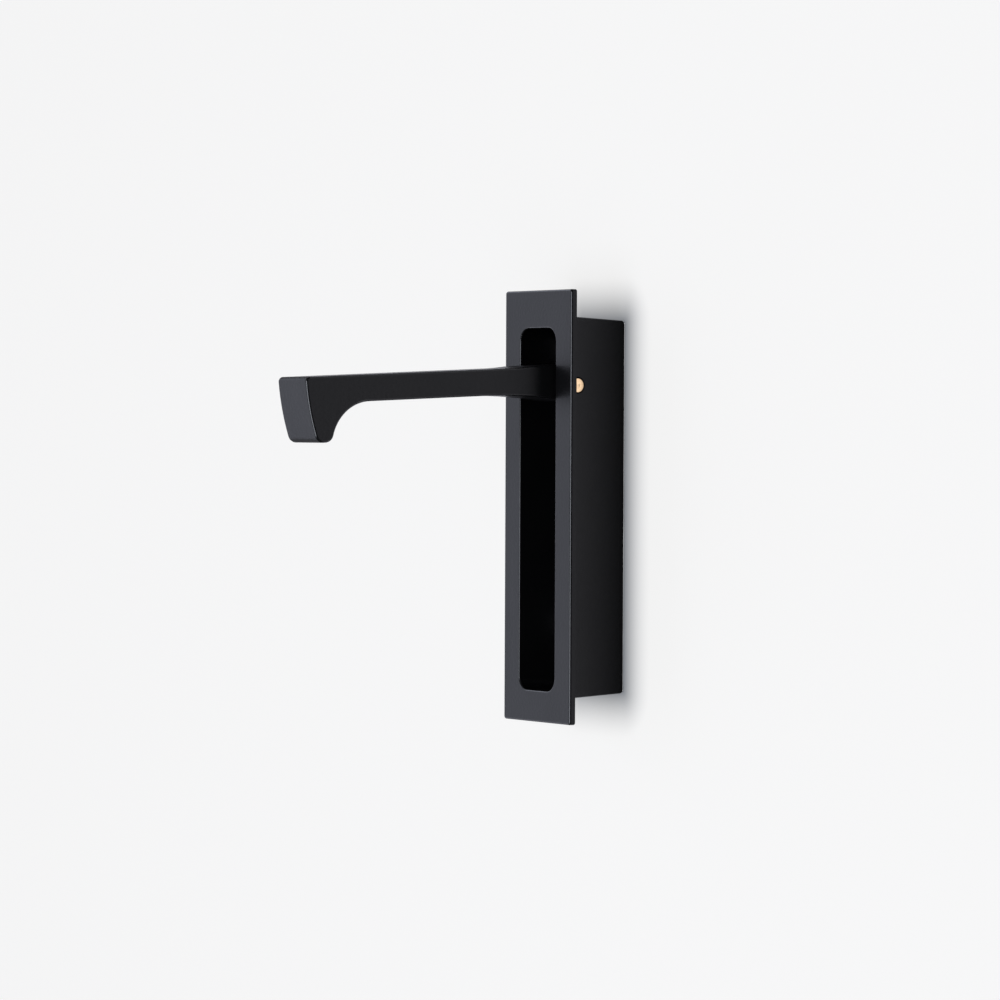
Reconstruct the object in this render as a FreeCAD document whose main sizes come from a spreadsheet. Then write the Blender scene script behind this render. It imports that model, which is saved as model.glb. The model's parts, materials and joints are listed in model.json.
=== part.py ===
import FreeCAD, Part
import math
import os
import Sketcher
from FreeCAD import Rotation, Vector

# Pocket door pull for the edge of a sliding door: a cast body (a flat face plate with a
# long box behind it, open to the front as a pocket) and a hooked lever that folds into
# the pocket and swings out on a brass pin.
# Frame: the origin is the middle of the face plate's back face, which lies on the door's
# edge. +Z runs up the door's edge, -Y points out of the edge towards the hand, +Y into
# the door, and +X to the right of someone who looks at the plate. The lever is swung out.

# Driving sizes in millimetres and degrees
SIZES = {
    "plate_height": 120.0,
    "plate_width": 34.0,
    "plate_thickness": 1.8,
    "plate_corner_round": 0.8,
    "plate_edge_round": 0.55,
    "slot_width": 18.0,
    "slot_top_margin": 10.5,
    "slot_bottom_margin": 8.75,
    "slot_corner_round": 4.0,
    "slot_edge_round": 0.4,
    "box_side_wall": 3.25,
    "box_top_wall": 3.25,
    "box_bottom_wall": 1.9,
    "box_draft": 3.0,
    "box_corner_round": 1.2,
    "box_back_round": 0.7,
    "floor_thickness": 1.9,
    "floor_round": 0.8,
    "screw_hole": 4.4,
    "screw_sink": 1.0,
    "upper_screw_margin": 5.0,
    "lower_screw_margin": 17.75,
    "rest_pad_width": 9.0,
    "rest_pad_length": 4.0,
    "rest_pad_height": 1.8,
    "rest_pad_round": 0.4,
    "rest_pad_gap": 0.1,
    "pin_size": 4.0,
    "pin_end_break": 0.2,
    "pin_end_set_back": 0.02,
    "pin_below_face": 5.45,
    "pin_below_slot_top": 15.9,
    "pin_running_gap": 0.04,
    "washer_size": 8.4,
    "washer_thickness": 1.15,
    "washer_bore_gap": 0.05,
    "washer_side_gap": 0.1,
    "lever_end_gap": 1.0,
    "lever_droop": 2.6,
    "lever_edge_round": 0.6,
    "arm_thickness": 7.32,
    "crest_rise": 0.4,
    "crest_run": 18.5,
    "crest_flat": 8.5,
    "hub_radius": 4.4,
    "flare_run": 28.0,
    "head_height": 17.9,
    "head_lean": 2.4,
    "head_face_bulge": 66.0,
    "head_top_round": 1.3,
    "nose_round": 2.5,
    "nose_flat": 0.8,
    "hook_sweep": 12.2,
    "tail_stop_gap": 0.1,
    "tail_lip": 4.4,
    "tail_heel": 3.4,
    "tail_corner_round": 1.0,
}

# Sizes that follow from the driving ones, as the sheet's own formulas
SLOT_ABOVE = "Sizes.plate_height / 2 - Sizes.slot_top_margin"
SLOT_BELOW = "Sizes.plate_height / 2 - Sizes.slot_bottom_margin"
POCKET_DEPTH = "Sizes.head_height + Sizes.rest_pad_gap + Sizes.rest_pad_height"
FLOOR_PLACE = f"{POCKET_DEPTH} - Sizes.plate_thickness"
BOX_ABOVE = f"{SLOT_ABOVE} + Sizes.box_top_wall"
BOX_BELOW = f"{SLOT_BELOW} + Sizes.box_bottom_wall"
BOX_WIDTH = "Sizes.slot_width + 2 * Sizes.box_side_wall"
BOX_DEPTH = f"{FLOOR_PLACE} + Sizes.floor_thickness"
UPPER_SCREW = f"{SLOT_ABOVE} - Sizes.upper_screw_margin"
LOWER_SCREW = f"Sizes.lower_screw_margin - ({SLOT_BELOW})"
PIN_PLACE = "Sizes.pin_below_face - Sizes.plate_thickness"
PIN_ABOVE = f"{SLOT_ABOVE} - Sizes.pin_below_slot_top"
BOX_NARROWING = f"2 * ({PIN_PLACE}) * tan(Sizes.box_draft * 1 deg)"
PIN_LENGTH = f"{BOX_WIDTH} - {BOX_NARROWING} - 2 * Sizes.pin_end_set_back"
LEVER_WIDTH = "Sizes.slot_width - 2 * (Sizes.washer_thickness + Sizes.washer_side_gap)"
LEVER_REACH = f"{PIN_ABOVE} + {SLOT_BELOW} - Sizes.lever_end_gap"
UNDERSIDE_LEVEL = "Sizes.arm_thickness - Sizes.pin_below_face"
NOSE_LEVEL = "Sizes.head_height - Sizes.pin_below_face"
NOSE_REACH = f"{LEVER_REACH} - Sizes.head_lean - Sizes.nose_round - Sizes.nose_flat / 2"
CREST_RADIUS = "Sizes.pin_below_face + Sizes.crest_rise"
TAIL_REACH = f"{POCKET_DEPTH} - Sizes.pin_below_face - Sizes.tail_stop_gap"

NODES_FOLDER = "parts"
OVERCUT = 1.0
NEAR = 0.001

# Sketcher's numbers for the points of a curve, and for the sketch's own point and axes
START, END, CENTRE = 1, 2, 3
SKETCH_POINT = (-1, START)
LEVEL_AXIS, UPRIGHT_AXIS = -1, -2


def make_sheet(doc):
    """Put each driving size in a cell of its own, with its name as the alias."""
    sheet = doc.addObject("Spreadsheet::Sheet", "Sizes")
    for row, (alias, value) in enumerate(SIZES.items(), start=1):
        sheet.set(f"A{row}", alias)
        sheet.set(f"B{row}", str(value))
        sheet.setAlias(f"B{row}", alias)
    doc.recompute()
    return sheet


def new_body(doc, label):
    body = doc.addObject("PartDesign::Body", label)
    body.Label = label
    return body


def new_sketch(body, name, role, offset=None):
    """Start a sketch on one of the body's own planes, set off along the plane's normal."""
    plane = next(item for item in body.Origin.OriginFeatures if item.Role == role)
    sketch = body.newObject("Sketcher::SketchObject", name)
    sketch.AttachmentSupport = [(plane, "")]
    sketch.MapMode = "FlatFace"
    if offset:
        sketch.setExpression("AttachmentOffset.Base.z", offset)
    return sketch


def new_pad(body, name, sketch, length, forward=True, centred=False):
    pad = body.newObject("PartDesign::Pad", name)
    pad.Profile = sketch
    pad.setExpression("Length", length)
    pad.Reversed = not forward
    pad.Midplane = centred
    return pad


def new_pocket(body, name, sketch, length, centred=False):
    pocket = body.newObject("PartDesign::Pocket", name)
    pocket.Profile = sketch
    pocket.setExpression("Length", length)
    pocket.Midplane = centred
    return pocket


def points_of(edge):
    """The ends and the middle of an edge."""
    middle = edge.valueAt((edge.FirstParameter + edge.LastParameter) / 2)
    return [middle] + [vertex.Point for vertex in edge.Vertexes]


def edges_where(feature, test):
    """Name the edges of a feature whose points all pass a test."""
    feature.Document.recompute()
    names = [
        f"Edge{number}"
        for number, edge in enumerate(feature.Shape.Edges, start=1)
        if all(test(point) for point in points_of(edge))
    ]
    if not names:
        raise RuntimeError(f"{feature.Name} has no such edge")
    return names


def new_round(body, name, base, radius, test):
    fillet = body.newObject("PartDesign::Fillet", name)
    fillet.Base = (base, edges_where(base, test))
    fillet.setExpression("Radius", radius)
    return fillet


def new_break(body, name, base, size, test):
    chamfer = body.newObject("PartDesign::Chamfer", name)
    chamfer.Base = (base, edges_where(base, test))
    chamfer.setExpression("Size", size)
    return chamfer


class Outline:
    """A closed outline drawn point by point in a sketch, each piece joined to the last."""

    def __init__(self, sketch, start):
        self.sketch = sketch
        self.here = start
        self.pieces = []

    def _join(self, index, near, far, smooth):
        if self.pieces:
            last = self.pieces[-1]
            kind = "Tangent" if smooth else "Coincident"
            self.sketch.addConstraint(Sketcher.Constraint(kind, last[0], last[2], index, near))
        self.pieces.append((index, near, far))
        return index

    def line(self, to, smooth=False):
        index = self.sketch.addGeometry(Part.LineSegment(self.here, to), False)
        self.here = to
        return self._join(index, START, END, smooth)

    def arc(self, centre, to, clockwise=True, smooth=True):
        first, last = (to, self.here) if clockwise else (self.here, to)
        angles = [math.atan2(point.y - centre.y, point.x - centre.x) for point in (first, last)]
        circle = Part.Circle(centre, Vector(0, 0, 1), (to - centre).Length)
        index = self.sketch.addGeometry(Part.ArcOfCircle(circle, *angles), False)
        self.here = to
        near, far = (END, START) if clockwise else (START, END)
        return self._join(index, near, far, smooth)

    def close(self, smooth=False):
        first = self.pieces[0]
        last = self.pieces[-1]
        kind = "Tangent" if smooth else "Coincident"
        self.sketch.addConstraint(Sketcher.Constraint(kind, last[0], last[2], first[0], first[1]))

    def start_of(self, index):
        return next((piece[0], piece[1]) for piece in self.pieces if piece[0] == index)

    def end_of(self, index):
        return next((piece[0], piece[2]) for piece in self.pieces if piece[0] == index)


def dimension(sketch, kind, places, name, formula, value):
    """Add one dimension at its present value and tie it to the sheet."""
    flat = [number for place in places for number in place]
    index = sketch.addConstraint(Sketcher.Constraint(kind, *flat, value))
    sketch.renameConstraint(index, name)
    sketch.setExpression(f"Constraints.{name}", formula)


def draw_block(sketch, width, above, below, value):
    """Draw an upright rectangle, centred left to right and reaching above and below."""
    half = value(width) / 2
    top = value(above)
    bottom = -value(below)
    outline = Outline(sketch, Vector(-half, top, 0))
    corners = ((half, top), (half, bottom), (-half, bottom), (-half, top))
    sides = [outline.line(Vector(x, y, 0)) for x, y in corners]
    outline.close()
    for side, kind in zip(sides[1:], ("Vertical", "Horizontal", "Vertical")):
        sketch.addConstraint(Sketcher.Constraint(kind, side))
    sketch.addConstraint(Sketcher.Constraint("Symmetric", sides[0], START, sides[0], END, UPRIGHT_AXIS))
    dimension(sketch, "DistanceX", [(sides[0], START), (sides[0], END)], "wide", width, 2 * half)
    dimension(sketch, "DistanceY", [SKETCH_POINT, (sides[0], START)], "above", above, top)
    dimension(sketch, "DistanceY", [(sides[2], START), SKETCH_POINT], "below", below, -bottom)


def draw_slot(sketch, width, above, below, corner, value):
    """Draw an upright slot with rounded corners, centred left to right."""
    half = value(width) / 2
    top = value(above)
    bottom = -value(below)
    radius = value(corner)
    inner = half - radius
    outline = Outline(sketch, Vector(-inner, top, 0))
    roof = outline.line(Vector(inner, top, 0))
    first = outline.arc(Vector(inner, top - radius, 0), Vector(half, top - radius, 0))
    right = outline.line(Vector(half, bottom + radius, 0), smooth=True)
    corners = [first, outline.arc(Vector(inner, bottom + radius, 0), Vector(inner, bottom, 0))]
    floor = outline.line(Vector(-inner, bottom, 0), smooth=True)
    corners.append(outline.arc(Vector(-inner, bottom + radius, 0), Vector(-half, bottom + radius, 0)))
    left = outline.line(Vector(-half, top - radius, 0), smooth=True)
    corners.append(outline.arc(Vector(-inner, top - radius, 0), Vector(-inner, top, 0)))
    outline.close(smooth=True)
    for side, kind in ((right, "Vertical"), (floor, "Horizontal"), (left, "Vertical")):
        sketch.addConstraint(Sketcher.Constraint(kind, side))
    for other in corners[1:]:
        sketch.addConstraint(Sketcher.Constraint("Equal", corners[0], other))
    sketch.addConstraint(Sketcher.Constraint("Symmetric", roof, START, roof, END, UPRIGHT_AXIS))
    dimension(sketch, "Radius", [(corners[0],)], "corner", corner, radius)
    dimension(sketch, "DistanceX", [(left, START), (right, START)], "wide", width, 2 * half)
    dimension(sketch, "DistanceY", [SKETCH_POINT, (roof, START)], "above", above, top)
    dimension(sketch, "DistanceY", [(floor, START), SKETCH_POINT], "below", below, -bottom)


def draw_circle(sketch, name, size, value, across=None, up=None):
    """Draw a circle, on the sketch's point unless a distance across or up is given."""
    x = value(across) if across else 0.0
    y = value(up) if up else 0.0
    index = sketch.addGeometry(Part.Circle(Vector(x, y, 0), Vector(0, 0, 1), value(size) / 2), False)
    if across:
        dimension(sketch, "DistanceX", [SKETCH_POINT, (index, CENTRE)], f"{name}_across", across, x)
    elif up:
        sketch.addConstraint(Sketcher.Constraint("PointOnObject", index, CENTRE, UPRIGHT_AXIS))
    else:
        sketch.addConstraint(Sketcher.Constraint("Coincident", index, CENTRE, *SKETCH_POINT))
    if up:
        dimension(sketch, "DistanceY", [SKETCH_POINT, (index, CENTRE)], f"{name}_up", up, y)
    dimension(sketch, "Diameter", [(index,)], f"{name}_size", size, value(size))


def touch_point(point, radius, side):
    """Where a line from a point touches a circle round the pin, above (1) or below (-1)."""
    turn = math.atan2(point.y, point.x) + side * math.acos(radius / point.Length)
    return Vector(radius * math.cos(turn), radius * math.sin(turn), 0)


def draw_lever(sketch, value):
    """Draw the lever's side view about the pin, with the arm pointing along -Y."""
    face = value("Sizes.pin_below_face")
    under = value(UNDERSIDE_LEVEL)
    crest = value(CREST_RADIUS)
    hub = value("Sizes.hub_radius")
    reach = value(LEVER_REACH)
    lean = value("Sizes.head_lean")
    nose = value("Sizes.nose_round")
    top_round = value("Sizes.head_top_round")
    nose_level = value(NOSE_LEVEL)
    sweep = value("Sizes.hook_sweep")
    tail = value(TAIL_REACH)
    heel = value("Sizes.tail_heel")

    # Outer face, the low crest over the pin and the tail that the thumb presses
    outline = Outline(sketch, Vector(top_round - reach, face, 0))
    crest_run = value("Sizes.crest_run")
    crest_flat = value("Sizes.crest_flat")
    half_ramp = (crest_run - crest_flat) / 2
    half_rise = (crest - face) / 2
    ramp_round = (half_ramp**2 + half_rise**2) / (2 * half_rise)
    ramp_middle = Vector(-crest_run + half_ramp, face + half_rise, 0)
    tail_tip = Vector(tail, value("Sizes.tail_lip"), 0)
    outer = outline.line(Vector(-crest_run, face, 0))
    rising = outline.arc(Vector(-crest_run, face + ramp_round, 0), ramp_middle, clockwise=False)
    settling = outline.arc(Vector(-crest_flat, crest - ramp_round, 0), Vector(-crest_flat, crest, 0))
    level = outline.line(Vector(0, crest, 0), smooth=True)
    crown = outline.arc(Vector(0, 0, 0), touch_point(tail_tip, crest, 1))
    outline.line(tail_tip, smooth=True)
    stop = outline.line(Vector(tail, 0, 0))
    heel_end = Vector(math.sqrt(tail * tail - heel * heel), -heel, 0)
    swing = outline.arc(Vector(0, 0, 0), heel_end, smooth=False)

    # Underside of the tail, the hub and the flare into the arm
    flare_run = value("Sizes.flare_run")
    flare_round = (flare_run**2 / (hub - under) - hub - under) / 2
    flare_centre = Vector(-flare_run, -under - flare_round, 0)
    belly = outline.line(touch_point(outline.here, hub, -1))
    bottom = outline.arc(Vector(0, 0, 0), Vector(flare_centre).normalize() * hub)
    flare = outline.arc(flare_centre, Vector(-flare_run, -under, 0), clockwise=False)

    # Hooked head: the sweep behind it, the rounded nose and the leaning end face
    nose_front = Vector(lean + nose - reach, nose - nose_level, 0)
    nose_back = nose_front + Vector(value("Sizes.nose_flat"), 0, 0)
    rise = nose_back.y + under + sweep
    sweep_centre = nose_back + Vector(math.sqrt((sweep + nose) ** 2 - rise**2), -rise, 0)
    meeting = sweep_centre + (nose_back - sweep_centre).normalize() * sweep
    underside = outline.line(Vector(sweep_centre.x, -under, 0), smooth=True)
    hook = outline.arc(sweep_centre, meeting, clockwise=False)
    back_nose = outline.arc(nose_back, Vector(nose_back.x, -nose_level, 0))
    flat = outline.line(Vector(nose_front.x, -nose_level, 0), smooth=True)
    face_low = Vector(lean - reach, nose_front.y, 0)
    face_high = Vector(-reach, face - top_round, 0)
    middle = (face_low + face_high) / 2
    bulge = value("Sizes.head_face_bulge")
    chord = face_high - face_low
    inward = Vector(chord.y, -chord.x, 0).normalize()
    face_centre = middle + inward * math.sqrt(bulge**2 - (chord.Length / 2) ** 2)
    front_nose = outline.arc(nose_front, face_low)
    end_face = outline.arc(face_centre, face_high)
    top_centre = Vector(top_round - reach, face - top_round, 0)
    top_corner = outline.arc(top_centre, Vector(top_round - reach, face, 0))
    outline.close(smooth=True)

    for line in (outer, level, underside, flat):
        sketch.addConstraint(Sketcher.Constraint("Horizontal", line))
    sketch.addConstraint(Sketcher.Constraint("Vertical", stop))
    for arc in (crown, swing, bottom):
        sketch.addConstraint(Sketcher.Constraint("Coincident", arc, CENTRE, *SKETCH_POINT))
    sketch.addConstraint(Sketcher.Constraint("PointOnObject", *outline.end_of(stop), LEVEL_AXIS))
    sketch.addConstraint(Sketcher.Constraint("Equal", back_nose, front_nose))
    sketch.addConstraint(Sketcher.Constraint("Equal", rising, settling))

    top_start = (outer, START)
    face_end = outline.end_of(end_face)
    for kind, places, name, formula in (
        ("DistanceY", [SKETCH_POINT, top_start], "face_level", "Sizes.pin_below_face"),
        ("DistanceX", [(outer, END), SKETCH_POINT], "crest_run", "Sizes.crest_run"),
        ("DistanceX", [(level, START), SKETCH_POINT], "crest_flat", "Sizes.crest_flat"),
        ("Radius", [(crown,)], "crest", CREST_RADIUS),
        ("DistanceX", [SKETCH_POINT, (stop, START)], "tail_reach", TAIL_REACH),
        ("DistanceY", [SKETCH_POINT, (stop, START)], "tail_lip", "Sizes.tail_lip"),
        ("DistanceY", [(belly, START), SKETCH_POINT], "tail_heel", "Sizes.tail_heel"),
        ("Radius", [(bottom,)], "hub", "Sizes.hub_radius"),
        ("DistanceX", [outline.end_of(flare), SKETCH_POINT], "flare_run", "Sizes.flare_run"),
        ("DistanceY", [(underside, END), SKETCH_POINT], "under_level", UNDERSIDE_LEVEL),
        ("Radius", [(hook,)], "hook", "Sizes.hook_sweep"),
        ("Radius", [(back_nose,)], "nose", "Sizes.nose_round"),
        ("DistanceX", [(flat, END), (flat, START)], "nose_flat", "Sizes.nose_flat"),
        ("DistanceY", [(flat, END), SKETCH_POINT], "nose_level", NOSE_LEVEL),
        ("Radius", [(end_face,)], "face_bulge", "Sizes.head_face_bulge"),
        ("DistanceX", [face_end, SKETCH_POINT], "reach", LEVER_REACH),
        ("DistanceX", [face_end, outline.start_of(end_face)], "lean", "Sizes.head_lean"),
        ("Radius", [(top_corner,)], "top_corner", "Sizes.head_top_round"),
    ):
        dimension(sketch, kind, places, name, formula, value(formula))


def make_cast_body(doc, value):
    """Face plate and drafted box in one casting, with the pocket, bores and rest pad."""
    body = new_body(doc, "cast_body")
    half_wide = value("Sizes.plate_width") / 2
    half_tall = value("Sizes.plate_height") / 2
    front = -value("Sizes.plate_thickness")
    back = value(BOX_DEPTH)
    half_slot = value("Sizes.slot_width") / 2
    half_box = value(BOX_WIDTH) / 2
    top = value(BOX_ABOVE)
    bottom = value(BOX_BELOW)

    plate_sketch = new_sketch(body, "PlateOutline", "XZ_Plane")
    half_height = "Sizes.plate_height / 2"
    draw_block(plate_sketch, "Sizes.plate_width", half_height, half_height, value)
    plate = new_pad(body, "Plate", plate_sketch, "Sizes.plate_thickness")

    def on_plate_corner(point):
        return abs(abs(point.x) - half_wide) < NEAR and abs(abs(point.z) - half_tall) < NEAR

    new_round(body, "PlateCorners", plate, "Sizes.plate_corner_round", on_plate_corner)

    box_sketch = new_sketch(body, "BoxOutline", "XZ_Plane")
    draw_block(box_sketch, BOX_WIDTH, BOX_ABOVE, BOX_BELOW, value)
    box = new_pad(body, "Box", box_sketch, BOX_DEPTH, forward=False)
    box.setExpression("TaperAngle", "-Sizes.box_draft")

    def on_box_corner(point):
        drawn_in = point.y * math.tan(math.radians(value("Sizes.box_draft")))
        at_side = abs(abs(point.x) - half_box + drawn_in) < NEAR
        at_top = abs(point.z - top + drawn_in) < NEAR
        at_bottom = abs(point.z + bottom - drawn_in) < NEAR
        return at_side and (at_top or at_bottom)

    def on_box_back(point):
        return abs(point.y - back) < NEAR

    corners = new_round(body, "BoxCorners", box, "Sizes.box_corner_round", on_box_corner)
    new_round(body, "BoxBackEdges", corners, "Sizes.box_back_round", on_box_back)

    slot_sketch = new_sketch(body, "SlotOutline", "XZ_Plane", "Sizes.plate_thickness")
    draw_slot(slot_sketch, "Sizes.slot_width", SLOT_ABOVE, SLOT_BELOW, "Sizes.slot_corner_round", value)
    pocket = new_pocket(body, "Pocket", slot_sketch, POCKET_DEPTH)

    def on_plate_rim(point):
        return abs(point.y - front) < NEAR and (abs(point.x) > half_box or abs(point.z) > bottom)

    rim = new_round(body, "PlateRim", pocket, "Sizes.plate_edge_round", on_plate_rim)

    def on_slot_edge(point):
        return abs(point.y - front) < NEAR and abs(point.x) < half_slot + NEAR and abs(point.z) < top

    slot_edge = new_round(body, "SlotEdge", rim, "Sizes.slot_edge_round", on_slot_edge)
    floor = value(FLOOR_PLACE)

    def on_floor_edge(point):
        return abs(point.y - floor) < NEAR and abs(point.x) < half_slot + NEAR

    new_round(body, "PocketFloorEdge", slot_edge, "Sizes.floor_round", on_floor_edge)

    pad_sketch = new_sketch(body, "RestPadOutline", "XZ_Plane", f"-({FLOOR_PLACE})")
    nose_place = f"{PIN_ABOVE} - ({NOSE_REACH})"
    draw_block(
        pad_sketch,
        "Sizes.rest_pad_width",
        f"{nose_place} + Sizes.rest_pad_length / 2",
        f"Sizes.rest_pad_length / 2 - ({nose_place})",
        value,
    )
    rest = new_pad(body, "RestPad", pad_sketch, "Sizes.rest_pad_height")
    pad_top = floor - value("Sizes.rest_pad_height")

    def on_pad_top(point):
        return abs(point.y - pad_top) < NEAR and abs(point.x) < half_slot - NEAR

    new_round(body, "RestPadEdges", rest, "Sizes.rest_pad_round", on_pad_top)

    bore_sketch = new_sketch(body, "PinBoreOutline", "YZ_Plane")
    draw_circle(bore_sketch, "bore", "Sizes.pin_size", value, across=PIN_PLACE, up=PIN_ABOVE)
    new_pocket(body, "PinBore", bore_sketch, f"{BOX_WIDTH} + {OVERCUT}", centred=True)

    screw_sketch = new_sketch(body, "ScrewHoleOutlines", "XZ_Plane", f"-({FLOOR_PLACE})")
    draw_circle(screw_sketch, "upper", "Sizes.screw_hole", value, up=UPPER_SCREW)
    draw_circle(screw_sketch, "lower", "Sizes.screw_hole", value, up=LOWER_SCREW)
    holes = new_pocket(body, "ScrewHoles", screw_sketch, f"Sizes.floor_thickness + {OVERCUT}")

    def on_hole_rim(point):
        in_holes = min(abs(point.z - value(place)) for place in (UPPER_SCREW, LOWER_SCREW))
        reach = math.hypot(point.x, in_holes)
        return abs(point.y - floor) < NEAR and abs(reach - value("Sizes.screw_hole") / 2) < NEAR

    new_break(body, "ScrewSinks", holes, "Sizes.screw_sink", on_hole_rim)
    return body


def make_lever(doc, value):
    """Hooked lever: one profile across the slot's width, with its edges softened."""
    body = new_body(doc, "lever")
    sketch = new_sketch(body, "LeverOutline", "YZ_Plane")
    draw_lever(sketch, value)
    blank = new_pad(body, "LeverBlank", sketch, LEVER_WIDTH, centred=True)
    half = value(LEVER_WIDTH) / 2
    tail = value(TAIL_REACH)
    lip = value("Sizes.tail_lip")
    heel = value("Sizes.tail_heel")

    def on_tail_corner(point):
        return point.y > tail / 2 and (abs(point.z - lip) < NEAR or abs(point.z + heel) < NEAR)

    def on_side(point):
        return abs(abs(point.x) - half) < NEAR

    tail_round = new_round(body, "TailCorners", blank, "Sizes.tail_corner_round", on_tail_corner)
    new_round(body, "LeverEdges", tail_round, "Sizes.lever_edge_round", on_side)
    bore_sketch = new_sketch(body, "LeverBoreOutline", "YZ_Plane")
    draw_circle(bore_sketch, "bore", "Sizes.pin_size + 2 * Sizes.pin_running_gap", value)
    new_pocket(body, "LeverBore", bore_sketch, f"{LEVER_WIDTH} + {OVERCUT}", centred=True)
    seat_on_pin(body)
    body.Placement.Rotation = Rotation(Vector(1, 0, 0), value("Sizes.lever_droop"))
    return body


def make_pin(doc, value):
    """Plain round pin, flush with the box's sides, with a small break on both ends."""
    body = new_body(doc, "pivot_pin")
    sketch = new_sketch(body, "PinOutline", "YZ_Plane")
    draw_circle(sketch, "pin", "Sizes.pin_size", value)
    shaft = new_pad(body, "PinShaft", sketch, PIN_LENGTH, centred=True)
    half = value(PIN_LENGTH) / 2

    def on_end(point):
        return abs(abs(point.x) - half) < NEAR

    new_break(body, "PinEnds", shaft, "Sizes.pin_end_break", on_end)
    seat_on_pin(body)
    return body


def make_washer(doc, value, label, side):
    """Thin ring on the pin that lies on the pocket's wall and keeps the lever centred."""
    body = new_body(doc, label)
    wall = "Sizes.slot_width / 2"
    offset = f"{wall} - Sizes.washer_thickness" if side > 0 else f"-{wall}"
    sketch = new_sketch(body, f"{label}_outline", "YZ_Plane", offset)
    draw_circle(sketch, "rim", "Sizes.washer_size", value)
    draw_circle(sketch, "hole", "Sizes.pin_size + 2 * Sizes.washer_bore_gap", value)
    new_pad(body, f"{label}_ring", sketch, "Sizes.washer_thickness")
    seat_on_pin(body)
    return body


def seat_on_pin(body):
    """Move a piece that was drawn about the pin's axis to the pin's place."""
    body.setExpression("Placement.Base.y", PIN_PLACE)
    body.setExpression("Placement.Base.z", PIN_ABOVE)


def check_and_write(doc, bodies):
    """Stop on any failed feature or bad solid, then write one file for each piece."""
    doc.recompute()
    for thing in doc.Objects:
        if {"Invalid", "Error"} & set(thing.State):
            raise RuntimeError(f"{thing.Name} failed: {thing.State}")
    for body in bodies:
        if body.Shape.isNull() or not body.Shape.isValid() or len(body.Shape.Solids) != 1:
            raise RuntimeError(f"{body.Label} is not one valid solid")
    os.makedirs(NODES_FOLDER, exist_ok=True)
    for body in bodies:
        body.Shape.exportStep(os.path.join(NODES_FOLDER, f"{body.Label}.step"))
        box = body.Shape.optimalBoundingBox()
        spans = ", ".join(
            f"{low:.2f} to {high:.2f}"
            for low, high in ((box.XMin, box.XMax), (box.YMin, box.YMax), (box.ZMin, box.ZMax))
        )
        print(f"{body.Label}: {body.Shape.Volume:.1f} mm3, {len(body.Shape.Faces)} faces, {spans}")


def main():
    doc = FreeCAD.newDocument("PocketDoorPull")
    sheet = make_sheet(doc)

    def value(formula):
        """Work out one of the sheet's formulas, as a plain number."""
        result = sheet.evalExpression(formula)
        return float(result.Value if hasattr(result, "Value") else result)

    bodies = [
        make_cast_body(doc, value),
        make_lever(doc, value),
        make_pin(doc, value),
        make_washer(doc, value, "washer_left", -1),
        make_washer(doc, value, "washer_right", 1),
    ]
    check_and_write(doc, bodies)


main()
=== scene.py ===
"""Looks for a pocket door pull: a coated casting with a hooked lever on a brass pin.

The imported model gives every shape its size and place. This script dresses it, adds the
turned pin and the two thin washers, and sets it on a pale wall under soft studio light.
Every length is in metres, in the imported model's own frame.
"""

import json
import logging
import math
from dataclasses import dataclass
from enum import Enum
from typing import Callable, Iterable

import bpy
from mathutils import Matrix, Vector

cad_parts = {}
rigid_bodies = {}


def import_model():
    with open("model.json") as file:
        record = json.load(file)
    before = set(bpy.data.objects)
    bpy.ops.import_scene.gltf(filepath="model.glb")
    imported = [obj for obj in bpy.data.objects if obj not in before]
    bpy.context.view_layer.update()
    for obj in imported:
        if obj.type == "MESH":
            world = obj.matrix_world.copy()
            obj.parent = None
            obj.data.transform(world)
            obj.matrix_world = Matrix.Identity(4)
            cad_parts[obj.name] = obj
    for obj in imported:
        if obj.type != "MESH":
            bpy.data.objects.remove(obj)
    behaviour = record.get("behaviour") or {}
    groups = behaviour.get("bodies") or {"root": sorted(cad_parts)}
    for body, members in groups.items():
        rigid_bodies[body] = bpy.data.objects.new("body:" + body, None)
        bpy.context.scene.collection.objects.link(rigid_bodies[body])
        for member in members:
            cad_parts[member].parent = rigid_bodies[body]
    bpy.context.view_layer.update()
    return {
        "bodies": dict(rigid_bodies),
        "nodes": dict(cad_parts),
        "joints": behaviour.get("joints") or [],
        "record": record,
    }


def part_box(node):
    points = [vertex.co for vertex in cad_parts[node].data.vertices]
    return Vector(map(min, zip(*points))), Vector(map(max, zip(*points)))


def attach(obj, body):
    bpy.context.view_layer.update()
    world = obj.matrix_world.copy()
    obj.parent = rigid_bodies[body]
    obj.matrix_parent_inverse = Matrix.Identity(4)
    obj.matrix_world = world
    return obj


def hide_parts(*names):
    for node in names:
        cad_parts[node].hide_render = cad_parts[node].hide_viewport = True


LOG = logging.getLogger("pocket_pull")
MILLIMETRE = 0.001
QUARTER_TURN = math.pi / 2

Colour = tuple[float, float, float]
Triple = tuple[float, float, float]
Span = tuple[float, float]


class Slot(Enum):
    """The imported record's material slots that the new pieces take."""

    PIN = "pin_brass"
    WASHER = "washer_plastic"


class Body(Enum):
    """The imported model's body that the new pieces ride on."""

    PULL = "pull_body"


class Side(Enum):
    """The two sides of the pocket."""

    LEFT = "left"
    RIGHT = "right"


class Axis(Enum):
    """A direction along one of the frame's axes."""

    X = (1.0, 0.0, 0.0)
    Y = (0.0, 1.0, 0.0)


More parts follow.
